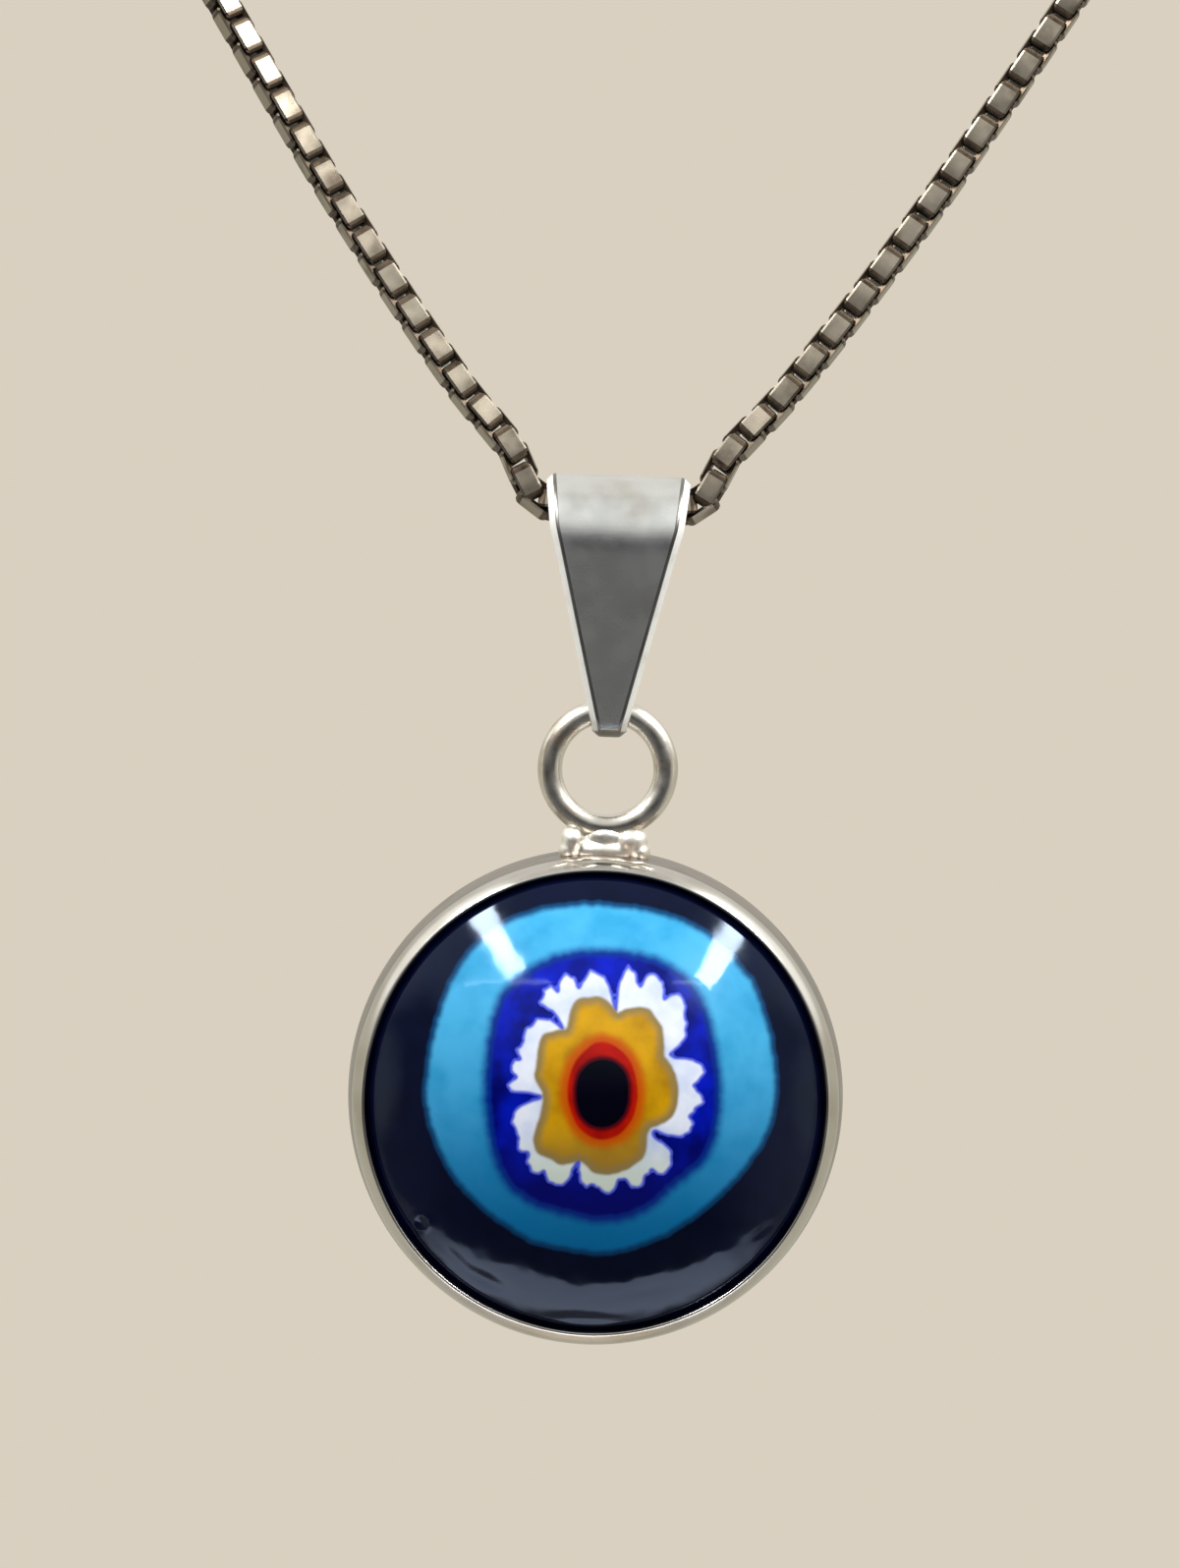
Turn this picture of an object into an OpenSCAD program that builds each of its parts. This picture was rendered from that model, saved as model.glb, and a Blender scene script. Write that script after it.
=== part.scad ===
// Evil eye pendant on a box chain: a domed millefiori glass in a silver cup setting with a soldered ring,
// hung by a folded tapered bail from a closed necklace loop. Millimetres, +Z up, the face looks along -Y.
// The origin is where the necklace rests at the nape. The route of the chain is in the Hidden section.

/* [Chain] */
// Thickness of the chain over its flats
chain_d = 0.84; // [0.6:0.02:1]
// Space between the chain and the inside of the bail's bend
chain_gap = 0.08; // [0.05:0.01:0.2]

/* [Clasp] */
// Outer diameter of the clasp's ring
clasp_d = 5.4; // [4:0.1:8]
// Thickness of the clasp's ring
clasp_t = 1.1; // [0.8:0.1:1.6]
// Outer diameter of the eyelet at each side of the clasp
eyelet_d = 1.9; // [1.6:0.1:2.4]
// Wire thickness of the eyelets
eyelet_t = 0.5; // [0.4:0.05:0.6]
// Space between an eyelet and the end of the chain
end_gap = 0.05; // [0.03:0.01:0.1]

/* [Bail] */
// Thickness of the folded sheet
sheet_t = 0.24; // [0.15:0.01:0.35]
// Height of the bail over all
bail_h = 7.45; // [6:0.05:10]
// Width of the bail at the bend
bail_w = 4.1; // [3:0.1:6]
// Width of the bail at its tip
tip_w = 1; // [0.6:0.05:1.2]
// Outer radius of the bend that sits on the chain
bend_r = 1.85; // [1.4:0.05:2.5]

/* [Ring] */
// Outer diameter of the soldered ring
ring_d = 4; // [3.6:0.1:5]
// Thickness of the ring's wire
wire_d = 0.7; // [0.5:0.05:0.8]
// Space between the ring's wire and the inside of the bail's tip
eye_gap = 0.12; // [0.1:0.01:0.2]

/* [Saddle] */
// Width of the solder saddle under the ring
saddle_w = 2.3; // [1.8:0.1:3]
// Height of the saddle over the setting's wall
saddle_h = 0.85; // [0.7:0.05:1.2]
// Depth of the saddle from front to back
saddle_d = 1.3; // [0.8:0.1:2]
// Space between the ring and the setting's wall, which the saddle fills
ring_lift = 0.44; // [0.3:0.02:0.6]

/* [Setting] */
// How much farther the wall stands out at the back than at the front rim
back_flare = 0.23; // [0.1:0.01:0.4]
// Height of the setting from back to rim
setting_h = 3.2; // [2.8:0.1:4.5]
// Thickness of the back plate
plate_t = 0.5; // [0.3:0.05:0.8]
// Width of the bright rim
rim_t = 0.27; // [0.2:0.01:0.4]
// How far the rim is pressed in over the edge of the glass
lip_in = 0.1; // [0.08:0.01:0.15]
// Height of the pressed lip
lip_h = 0.26; // [0.2:0.01:0.4]

/* [Glass] */
// Space between the glass and the setting
glass_gap = 0.06; // [0.03:0.01:0.1]
// Height of the dome over the rim
dome_h = 2.3; // [1.5:0.1:4]
// Depth of the cane slice under the rim's level
slice_depth = 1; // [0.6:0.1:1.5]
// Space between one layer of the cane and the next
cane_gap = 0.03; // [0.02:0.01:0.05]

// Width of the navy glass between the sky blue disc and the edge
navy_w = 1.52; // [1.2:0.02:2.4]

/* [Eye] */
// How far the pupil sits to the right of the glass's middle
eye_x = 0.17; // [-0.3:0.01:0.3]
// How far the pupil sits above the glass's middle
eye_z = 0.42; // [-0.2:0.01:0.6]
// Width of the black pupil
pupil_w = 1.56; // [1.2:0.02:1.8]
// Height of the black pupil
pupil_h = 1.93; // [1.82:0.01:2.2]
// Width of the red ring beside the pupil
red_side = 0.27; // [0.2:0.01:0.4]
// Width of the red ring over and under the pupil
red_top = 0.43; // [0.3:0.01:0.6]
// How far the longest amber petal reaches past the red ring
amber_l = 1.2; // [1:0.02:1.4]
// How far the longest white petal reaches past the amber
petal_l = 0.97; // [0.85:0.01:1.1]
// Width of the royal blue beside the white petals
royal_side = 0.55; // [0.4:0.01:0.8]
// Width of the royal blue over and under the white petals
royal_top = 0.32; // [0.2:0.01:0.6]
// Width of the sky blue band past the royal blue
sky_w = 1.22; // [1:0.02:1.6]
// How far the sky blue disc sits above the pupil
sky_up = 0.4; // [0.2:0.01:0.45]

/* [Hidden] */
$fn = 64;
SIDES = 8;     // flat sides of the chain's tube
STEPS = 3;     // rings of the tube in each long stretch of its route
TURN = 6;      // stretches next to the bail, which are short
TURN_STEPS = 2;  // rings in each of those
BITE = 0.1;    // how deep soldered shapes run into each other
LAP = 3;       // degrees by which round shapes lap over the flat sides that they run into

// Right half of the necklace from inside the bail to the clasp: x to the right, y to the back, z up.
// The left half is its mirror image.
ROUTE = [
    [0, -104, -120], [2.25, -104, -120], [2.6, -104, -119.65], [2.85, -104, -119.05], [4.5, -103.9, -117],
    [8.1, -103.5, -112], [11.3, -103, -107], [20, -101, -92.5], [35, -93.5, -67], [49, -80, -42.5],
    [57, -62, -23], [57, -43, -10.5], [48, -23, -3.5], [33, -9, -0.5], [17, -2, 0]
];
LOOP_TILT = [0, -0.755, 0.655];  // square to the plane that the necklace lies in

// Height and half width of the bail's front, as shares of its height and of half its width
BAIL_FRONT = [[0, 1], [0.2, 0.925]];

// Amber lobes: angle, reach as a share of amber_reach, radius as a share of amber_reach
AMBER_CORE = 0.62;  // radius of the round field inside the lobes, as a share of amber_reach
LOBES = [[75, 1, 0.36], [32, 0.86, 0.3], [0, 0.8, 0.26], [318, 0.78, 0.26], [274, 0.86, 0.28],
         [236, 0.88, 0.28], [196, 0.74, 0.24], [166, 0.72, 0.22], [134, 0.84, 0.28], [108, 0.96, 0.28]];

// Teeth of the white petals: angle of the tip, its reach as a share of petal_reach, and the share of
// petal_reach where the notch before it ends
TEETH = [
    [34, 0.8, 0.66], [50, 0.95, 0.76], [64, 1, 0.84], [77, 1, 0.86],
    [94, 0.95, 0.76], [107, 0.97, 0.84], [117, 0.93, 0.84], [127, 0.8, 0.72],
    [140, 0.75, 0.68], [152, 0.74, 0.64], [164, 0.73, 0.64], [176, 0.71, 0.62],
    [196, 0.72, 0.58], [212, 0.78, 0.67], [227, 0.82, 0.7], [240, 0.83, 0.71],
    [259, 0.76, 0.65], [272, 0.79, 0.68], [289, 0.78, 0.68], [305, 0.8, 0.68], [318, 0.72, 0.65],
    [333, 0.73, 0.6], [344, 0.75, 0.63], [356, 0.81, 0.65], [12, 0.83, 0.69]
];
TOOTH_HALF = 3;      // half width of a tooth's blunt tip, in degrees
PETAL_WIDE = 0.812;    // how far the teeth reach to the side, as a share of petal_reach
PETAL_HIGH = 0.975;    // how far they reach up
ROYAL_CORNER = 0.79;   // how far the royal blue's rounded corners reach, as a share of its half diagonal

hinge = ROUTE[0];                                    // the chain's middle in the bend of the bail
bail_top = chain_d / 2 + chain_gap + sheet_t;        // over the chain's middle
eye_r = wire_d / 2 + eye_gap;                        // inside of the bail's tip
tip_r = eye_r + sheet_t;
bend_z = bail_top - bend_r;                          // middle of the bend
tip_z = bail_top - bail_h + tip_r;                   // middle of the eye in the tip
bail_lean = asin((bend_r - tip_r) / (bend_z - tip_z));
square_out = [cos(bail_lean), -sin(bail_lean)];      // square to the bail's flat side, front or back
function sheet_place(side, r, z) = [side * r * square_out.x, z + r * square_out.y];
ring_r = (ring_d - wire_d) / 2;                      // middle of the ring's wire
wire_fall = ring_r - sqrt(pow(ring_r, 2) - pow(tip_w / 2, 2));
ring_z = tip_z + wire_fall / 2 - ring_r;             // middle of the ring
red_w = pupil_w + 2 * red_side;
red_h = pupil_h + 2 * red_top;
amber_reach = red_h / 2 + amber_l;
petal_reach = amber_reach + petal_l;
royal_w = 2 * (PETAL_WIDE * petal_reach + royal_side);
royal_h = 2 * (PETAL_HIGH * petal_reach + royal_top);
sky_r = royal_h / 2 + sky_w;
girdle_r = sky_r + navy_w;                           // outside of the glass
bore_r = girdle_r + glass_gap;                       // inside of the setting's wall
rim_r = bore_r + rim_t;
back_r = rim_r + back_flare;
wall_mid_r = (rim_r + back_r) / 2;                   // the wall's outer radius at mid height
setting_z = ring_z - ring_d / 2 - ring_lift - wall_mid_r;
girdle_h = setting_h - lip_h - glass_gap;            // where the dome begins
cap_h = setting_h + dome_h - girdle_h;
ball_r = (pow(girdle_r, 2) + pow(cap_h, 2)) / (2 * cap_h);
ball_h = setting_h + dome_h - ball_r;                // middle of the dome's ball
floor_h = setting_h - slice_depth;                   // where the cane slice rests
clasp_half = clasp_d / 2 + eyelet_d - eyelet_t;      // middle of the clasp to the outside of an eyelet

// A place on the curve through points p between number i and the next, at share u of the way
function chord(p, i) = norm(p[i + 1] - p[i]);
function course(p, i) =
    i == 0 ? [1, 0, 0] :
    i == len(p) - 1 ? (p[i] - p[i - 1]) / chord(p, i - 1) :
    let (a = chord(p, i - 1), b = chord(p, i))
    ((p[i] - p[i - 1]) * b / a + (p[i + 1] - p[i]) * a / b) / (a + b);
function along(p, i, u) =
    let (c = chord(p, i), v = u * u * (3 - 2 * u))
    p[i] * (1 - v) + p[i + 1] * v
    + c * u * (1 - u) * ((1 - u) * course(p, i) - u * course(p, i + 1));

half_line = concat(ROUTE, [[clasp_half + end_gap, 0, 0]]);
half_path = concat(
    [for (i = [0 : len(half_line) - 2]) let (n = i < TURN ? TURN_STEPS : STEPS)
        for (s = [0 : n - 1]) along(half_line, i, s / n)],
    [half_line[len(half_line) - 1]]
);
function mirrored(v) = [-v.x, v.y, v.z];
function unit(v) = v / norm(v);
path = concat([for (i = [len(half_path) - 1 : -1 : 1]) mirrored(half_path[i])], half_path);
function heading(i) = unit(path[min(i + 1, len(path) - 1)] - path[max(i - 1, 0)]);
function tube_ring(i) =
    let (t = heading(i), side = unit(cross(t, LOOP_TILT)), up = cross(side, t))
    [for (k = [0 : SIDES - 1])
        path[i] + chain_d / 2 * (side * cos((k + 0.5) * 360 / SIDES) + up * sin((k + 0.5) * 360 / SIDES))];
function tube_points() = [for (i = [0 : len(path) - 1]) each tube_ring(i)];
function tube_faces(n) = concat(
    [[for (k = [0 : SIDES - 1]) k]],
    [for (i = [0 : n - 2], k = [0 : SIDES - 1])
        let (m = (k + 1) % SIDES)
        [i * SIDES + k, (i + 1) * SIDES + k, (i + 1) * SIDES + m, i * SIDES + m]],
    [[for (k = [SIDES - 1 : -1 : 0]) (n - 1) * SIDES + k]]
);

// The whole necklace as one plain tube
module chain() {
    color([0.75, 0.74, 0.71])
    polyhedron(points = tube_points(), faces = tube_faces(len(path)), convexity = 10);
}

module torus(outer_d, thick) {
    rotate_extrude() translate([(outer_d - thick) / 2, 0]) circle(d = thick, $fn = 32);
}

// A plain ring clasp with an eyelet at each side, flat against the nape
module clasp() {
    color([0.78, 0.77, 0.74])
    rotate([90, 0, 0]) {
        rotate(90) torus(clasp_d, clasp_t);
        for (turn = [0, 180])
            rotate(turn) translate([clasp_half - eyelet_d / 2, 0, 0]) torus(eyelet_d, eyelet_t);
    }
}

module across() {
    linear_extrude(height = 2 * bail_w, center = true) children();
}

// Round piece of the folded sheet at the top (side 1) or the tip (side -1). It laps a little over the flats.
module fold(outer_r, z, side) {
    edge = -bail_lean - side * LAP;
    far = 2 * outer_r * [cos(edge), sin(edge)];
    translate([0, z]) difference() {
        circle(r = outer_r);
        circle(r = outer_r - sheet_t);
        polygon([[0, 0], far, [far.x, -side * 2 * outer_r], [-far.x, -side * 2 * outer_r], [-far.x, far.y]]);
    }
}

// The strip of sheet folded into a long drop, wide at the bend and narrow round the ring
module bail() {
    front = concat(
        [for (row = BAIL_FRONT) [row[1] * bail_w / 2, bail_top - row[0] * bail_h]],
        [[tip_w / 2, tip_z - eye_r], [tip_w / 2, bail_top - bail_h - BITE]]
    );
    color([0.8, 0.8, 0.8])
    translate(hinge)
    intersection() {
        rotate([90, 0, 90]) {
            across() fold(bend_r, bend_z, 1);
            across() fold(tip_r, tip_z, -1);
            for (side = [-1, 1]) across() polygon([
                sheet_place(side, bend_r, bend_z), sheet_place(side, bend_r - sheet_t, bend_z),
                sheet_place(side, eye_r, tip_z), sheet_place(side, tip_r, tip_z)
            ]);
        }
        rotate([90, 0, 0]) linear_extrude(height = 4 * bend_r, center = true)
            polygon(concat(
                [[bail_w / 2, bail_top + BITE]], front,
                [for (i = [len(front) - 1 : -1 : 0]) [-front[i].x, front[i].y]],
                [[-bail_w / 2, bail_top + BITE]]
            ));
    }
}

// Places what is drawn from the middle of the back, x to the right, y up and z to the front
module on_drop() {
    translate([hinge.x, hinge.y + setting_h / 2, hinge.z + setting_z]) rotate([90, 0, 0]) children();
}

// Cup, solder saddle and ring, soldered into one piece
module setting() {
    ring_up = ring_z - setting_z;
    color([0.74, 0.72, 0.68])
    on_drop() {
        rotate_extrude($fn = 96) polygon([
            [0, 0], [back_r, 0], [rim_r, setting_h], [bore_r, setting_h],
            [bore_r - lip_in, setting_h - lip_h / 4], [bore_r - lip_in, setting_h - lip_h / 2],
            [bore_r, setting_h - lip_h], [bore_r, plate_t], [0, plate_t]
        ]);
        translate([0, ring_up, setting_h / 2]) torus(ring_d, wire_d);
        saddle();
    }
}

module saddle() {
    foot_r = saddle_h / 2;
    foot_in = foot_r * cos(LAP);
    foot_x = saddle_w / 2 - foot_r;
    base = sqrt(pow(wall_mid_r, 2) - pow(saddle_w / 2, 2)) - BITE;
    top = wall_mid_r + saddle_h;
    translate([0, 0, (setting_h - saddle_d) / 2]) {
        translate([-foot_x, base, 0]) cube([2 * foot_x, top - foot_r / 2 - base, saddle_d]);
        for (side = [-1, 1]) {
            translate([side * foot_x, top - foot_r, 0]) cylinder(r = foot_r, h = saddle_d);
            translate([side * foot_x - foot_in, base, 0]) cube([2 * foot_in, top - foot_r - base, saddle_d]);
        }
    }
}

// The dome and the body of the glass as one round shape
module glass_form() {
    intersection() {
        translate([0, 0, plate_t + glass_gap])
            cylinder(r = girdle_r, h = setting_h + dome_h, $fn = 96);
        translate([0, 0, ball_h]) rotate(45) sphere(r = ball_r, $fn = 128);
    }
}

// An outline at the eye's place, drawn out from the floor of the slice to past the dome
module column(lift = 0) {
    translate([eye_x, eye_z, floor_h + lift]) linear_extrude(height = setting_h + dome_h) children();
}

// The glass inside an outline, down to the slice's floor
module slice() {
    intersection() {
        glass_form();
        column(cane_gap) children();
    }
}

module oval(w, h, grow = 0) {
    r = w / 2 + grow;
    straight = (h - w) / 2;
    edge = [r * cos(LAP), straight - r * sin(LAP)];
    for (side = [-1, 1]) translate([0, side * straight]) circle(r = r);
    polygon([edge, [-edge.x, edge.y], -edge, [edge.x, -edge.y]]);
}

module amber_outline(grow = 0) {
    circle(r = amber_reach * AMBER_CORE + grow);
    for (lobe = LOBES) rotate(lobe[0])
        translate([amber_reach * (lobe[1] - lobe[2]), 0]) circle(r = amber_reach * lobe[2] + grow);
}

module petal_outline(grow = 0) {
    function spot(angle, r) = (r + grow) * [cos(angle), sin(angle)];
    polygon([for (i = [0 : len(TEETH) - 1])
        let (
            tooth = TEETH[i],
            before = TEETH[(i + len(TEETH) - 1) % len(TEETH)][0],
            from = before > tooth[0] ? before - 360 : before,
            reach = petal_reach * tooth[1]
        )
        each [
            spot((from + tooth[0]) / 2, petal_reach * tooth[2]),
            spot(tooth[0] - TOOTH_HALF, reach),
            spot(tooth[0] + TOOTH_HALF, reach)
        ]
    ]);
}

module royal_outline(grow = 0) {
    intersection() {
        circle(r = ROYAL_CORNER * norm([royal_w, royal_h]) / 2 + grow, $fn = 96);
        square([royal_w + 2 * grow, royal_h + 2 * grow], center = true);
    }
}

module sky_outline(grow = 0) {
    translate([0, sky_up]) circle(r = sky_r + grow, $fn = 96);
}

// Near-black navy glass that the cane slice is fused into
module glass_base() {
    color([0.01, 0.01, 0.07])
    on_drop() difference() {
        glass_form();
        column() sky_outline(cane_gap);
    }
}

module sky_ring() {
    color([0.16, 0.5, 0.75])
    on_drop() difference() {
        slice() sky_outline();
        column() royal_outline(cane_gap);
    }
}

module royal_ring() {
    color([0.03, 0.06, 0.65])
    on_drop() difference() {
        slice() royal_outline();
        column() petal_outline(cane_gap);
    }
}

module white_petals() {
    color([0.93, 0.94, 0.95])
    on_drop() difference() {
        slice() petal_outline();
        column() amber_outline(cane_gap);
    }
}

module amber_petals() {
    color([0.78, 0.58, 0.05])
    on_drop() difference() {
        slice() amber_outline();
        column() oval(red_w, red_h, cane_gap);
    }
}

module red_ring() {
    color([0.78, 0.12, 0.02])
    on_drop() difference() {
        slice() oval(red_w, red_h);
        column() oval(pupil_w, pupil_h, cane_gap);
    }
}

module pupil() {
    color([0.01, 0.01, 0.03])
    on_drop() slice() oval(pupil_w, pupil_h);
}

chain();
clasp();
bail();
setting();
glass_base();
sky_ring();
royal_ring();
white_petals();
amber_petals();
red_ring();
pupil();
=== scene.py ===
# %% [markdown]
# # Evil eye pendant on a box chain
#
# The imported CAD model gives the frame: every piece below is made in metres, in the place where the CAD has
# it. The lengths are written in millimetres, as a jeweller would write them, and MM turns them into metres.

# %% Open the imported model
import math
import bmesh
import bpy
from mathutils import Matrix, Vector, geometry, kdtree, noise


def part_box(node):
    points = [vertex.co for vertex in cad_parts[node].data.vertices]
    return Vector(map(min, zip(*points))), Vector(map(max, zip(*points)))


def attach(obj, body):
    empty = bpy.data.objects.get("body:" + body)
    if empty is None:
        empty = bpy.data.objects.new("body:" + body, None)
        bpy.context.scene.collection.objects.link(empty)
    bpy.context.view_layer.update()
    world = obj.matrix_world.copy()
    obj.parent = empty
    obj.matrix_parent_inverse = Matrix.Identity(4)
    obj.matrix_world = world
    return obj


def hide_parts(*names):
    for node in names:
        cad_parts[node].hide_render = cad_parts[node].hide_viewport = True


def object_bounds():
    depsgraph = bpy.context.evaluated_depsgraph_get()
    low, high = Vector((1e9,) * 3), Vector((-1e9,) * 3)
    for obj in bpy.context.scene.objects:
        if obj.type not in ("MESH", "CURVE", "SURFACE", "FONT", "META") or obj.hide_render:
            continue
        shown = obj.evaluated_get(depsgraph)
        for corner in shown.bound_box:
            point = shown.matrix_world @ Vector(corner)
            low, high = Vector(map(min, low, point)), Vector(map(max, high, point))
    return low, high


MM = 0.001
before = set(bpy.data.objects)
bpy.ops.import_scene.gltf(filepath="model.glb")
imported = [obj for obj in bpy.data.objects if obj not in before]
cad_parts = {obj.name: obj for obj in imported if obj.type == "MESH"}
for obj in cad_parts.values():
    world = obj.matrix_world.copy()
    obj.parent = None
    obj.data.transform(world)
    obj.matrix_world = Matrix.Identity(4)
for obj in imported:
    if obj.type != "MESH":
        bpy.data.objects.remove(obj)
cad_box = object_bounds()
print("CAD box in mm:", [round((b - a) / MM, 1) for a, b in zip(*cad_box)])

# %% [markdown]
# ## The camera
#
# The picture shows about 33 mm across, from 200 mm away and from a little above. The necklace hangs plumb.
# The camera leans, so that everything in the picture leans to the right by two degrees. A long lens keeps
# the jewel undistorted.

# %% Set up the camera
PICTURE = (1200, 1596)
PIXELS_PER_MM = 36
AWAY = 200
SENSOR_HIGH = 24
LOOK_DOWN, LEAN = math.radians(1.5), math.radians(2.15)
rim_middle = Vector((0, -105.6, -137.04))
rim_pixel = (606, 1123)

ahead = Vector((0, math.cos(LOOK_DOWN), -math.sin(LOOK_DOWN)))
level_up = Vector((0, math.sin(LOOK_DOWN), math.cos(LOOK_DOWN)))
right = Vector((math.cos(LEAN), 0, 0)) + level_up * math.sin(LEAN)
up = level_up * math.cos(LEAN) - Vector((math.sin(LEAN), 0, 0))
eye_point = (rim_middle - ahead * AWAY
             - right * (rim_pixel[0] - PICTURE[0] / 2) / PIXELS_PER_MM
             - up * (PICTURE[1] / 2 - rim_pixel[1]) / PIXELS_PER_MM)

camera_data = bpy.data.cameras.new("camera")
camera_data.sensor_fit = "VERTICAL"
camera_data.sensor_height = SENSOR_HIGH
camera_data.lens = SENSOR_HIGH * AWAY * PIXELS_PER_MM / PICTURE[1]
camera_data.clip_start = 0.005
camera_data.clip_end = 20
camera = bpy.data.objects.new("camera", camera_data)
bpy.context.scene.collection.objects.link(camera)
turn = Matrix((right, up, -ahead)).transposed().to_4x4()
camera.matrix_world = Matrix.Translation(eye_point * MM) @ turn
bpy.context.scene.camera = camera
print("camera at", [round(v, 1) for v in eye_point], "mm, lens", round(camera_data.lens, 1), "mm")

# %% [markdown]
# ## Light and floor
#
# Polished silver and glass show what stands round them. A dark middle in front stands for whoever holds the
# camera, and the pale room round it puts the bright lines on the edges. This could be done with cards and
# lamps. A world that is painted by direction does the same without any more objects.

# %% Make the room that the jewel reflects
scene = bpy.context.scene
scene.view_settings.view_transform = "Standard"
scene.view_settings.look = "None"
world = bpy.data.worlds.new("soft room")
scene.world = world
world.use_nodes = True
room = world.node_tree
room.nodes.clear()


def node(tree, kind, inputs=None, **settings):
    """Adds a node, sets its options, and joins or sets its inputs by number or name."""
    made = tree.nodes.new(kind)
    for key, value in settings.items():
        setattr(made, key, value)
    for key, value in (inputs or {}).items():
        if isinstance(value, bpy.types.NodeSocket):
            tree.links.new(value, made.inputs[key])
        else:
            made.inputs[key].default_value = value
    return made


def math_node(tree, operation, a, b=0.0):
    return node(tree, "ShaderNodeMath", {0: a, 1: b}, operation=operation).outputs[0]


def smooth_step(tree, value, start, end):
    """0 below start, 1 above end, and smooth between."""
    made = node(tree, "ShaderNodeMapRange", {0: value, 1: start, 2: end}, interpolation_type="SMOOTHSTEP")
    return made.outputs[0]


def mix_colours(tree, share, first, second):
    made = node(tree, "ShaderNodeMix", data_type="RGBA")
    for socket, value in ((made.inputs[0], share), (made.inputs[6], first), (made.inputs[7], second)):
        if isinstance(value, bpy.types.NodeSocket):
            tree.links.new(value, socket)
        else:
            socket.default_value = value
    return made.outputs[2]


way = node(room, "ShaderNodeTexCoord").outputs["Generated"]
to_right, to_back, to_top = node(room, "ShaderNodeSeparateXYZ", {0: way}).outputs
to_left = math_node(room, "MULTIPLY", to_right, -1)
to_floor = math_node(room, "MULTIPLY", to_top, -1)
to_side = math_node(room, "ABSOLUTE", to_right)


def fade(under, towards, start, end, over):
    """Paints one light over another, from where it starts to show to where it covers."""
    return mix_colours(room, smooth_step(room, towards, start, end), under, over)


def patch(under, direction, full, gone, light):
    """Lights up a round patch of the room. It fades between two angles in degrees from its direction."""
    aim = Vector(direction).normalized()
    near = node(room, "ShaderNodeVectorMath", {0: way, 1: aim}, operation="DOT_PRODUCT").outputs["Value"]
    return fade(under, near, math.cos(math.radians(gone)), math.cos(math.radians(full)), light)


DARK_FRONT, DIM_FLOOR, CEILING = (0.055, 0.057, 0.062, 1), (0.14, 0.14, 0.14, 1), (0.66, 0.67, 0.66, 1)
RIGHT_WALL, LEFT_WALL, SIDE_GLOW = (0.5, 0.48, 0.45, 1), (0.26, 0.24, 0.22, 1), (0.9, 0.89, 0.84, 1)
TABLE_EDGE, TABLE = (0.5, 0.49, 0.42, 1), (3.4, 3.4, 3.8, 1)
BACK_WALL, BACK_HIGH, BACK_LOW = (0.56, 0.55, 0.47, 1), (0.8, 0.79, 0.76, 1), (0.5, 0.48, 0.43, 1)
PALE_CORNER, COOL_CORNER, BRIGHT_SPOT = (1.3, 1.32, 1.3, 1), (1.0, 1.04, 1.1, 1), (2.7, 2.7, 2.55, 1)
BACKDROP = (0.7, 0.63, 0.53, 1)

colour = fade(DARK_FRONT, to_floor, 0.15, 0.5, DIM_FLOOR)
colour = fade(colour, to_top, -0.05, 0.55, CEILING)
colour = fade(colour, to_right, 0.6, 0.95, RIGHT_WALL)
colour = fade(colour, to_left, 0.6, 0.95, LEFT_WALL)
colour = fade(colour, to_side, 0.94, 0.985, SIDE_GLOW)
table_reach = math_node(room, "MULTIPLY", smooth_step(room, to_floor, 0.5, 0.95), 0.24)
table_light = fade(TABLE_EDGE, to_floor, 0.55, 0.85, TABLE)
colour = fade(colour, math_node(room, "ADD", to_back, table_reach), -0.12, -0.1, table_light)
wall = fade(BACK_WALL, to_top, 0.0, 0.7, BACK_HIGH)
wall = fade(wall, to_floor, 0.5, 0.85, BACK_LOW)
colour = fade(colour, to_back, -0.1, -0.02, wall)
for side in (-1, 1):
    colour = patch(colour, (0.76 * side, 0.12, 0.64), 12, 30, PALE_CORNER)
    colour = patch(colour, (0.64 * side, -0.4, 0.66), 6, 22, COOL_CORNER)
colour = patch(colour, (0.55, -0.55, 0.63), 4, 13, BRIGHT_SPOT)
seen = node(room, "ShaderNodeLightPath").outputs["Is Camera Ray"]
colour = mix_colours(room, seen, colour, BACKDROP)
shade = node(room, "ShaderNodeBackground", {0: colour, 1: 1.0})
node(room, "ShaderNodeOutputWorld", {0: shade.outputs[0]})
print("world nodes:", len(room.nodes))

# %% [markdown]
# Two tall windows stand high at the left and the right of the camera. They make the two slanted bars on the
# dome. Two narrow shelves draw the thin line beside the petals. A broad fill lights the front, and
# reflections don't show it.

# %% Hang the lamps
glass_front = Vector((0, -107, -137))
LAMP_AWAY = 500


def lamp(name, direction, axis, size, power):
    """A flat lamp in a direction from the glass, turned towards it. Its long side lies along the axis."""
    data = bpy.data.lights.new(name, "AREA")
    data.shape = "RECTANGLE"
    data.size, data.size_y = size[0] * MM, size[1] * MM
    data.energy = power
    made = bpy.data.objects.new(name, data)
    scene.collection.objects.link(made)
    back = Vector(direction).normalized()
    long_side = Vector(axis) - back * back.dot(Vector(axis))
    long_side.normalize()
    place = (glass_front + back * LAMP_AWAY) * MM
    turned = Matrix((long_side.cross(back), long_side, back)).transposed().to_4x4()
    made.matrix_world = Matrix.Translation(place) @ turned
    made.visible_camera = False
    return made


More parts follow.
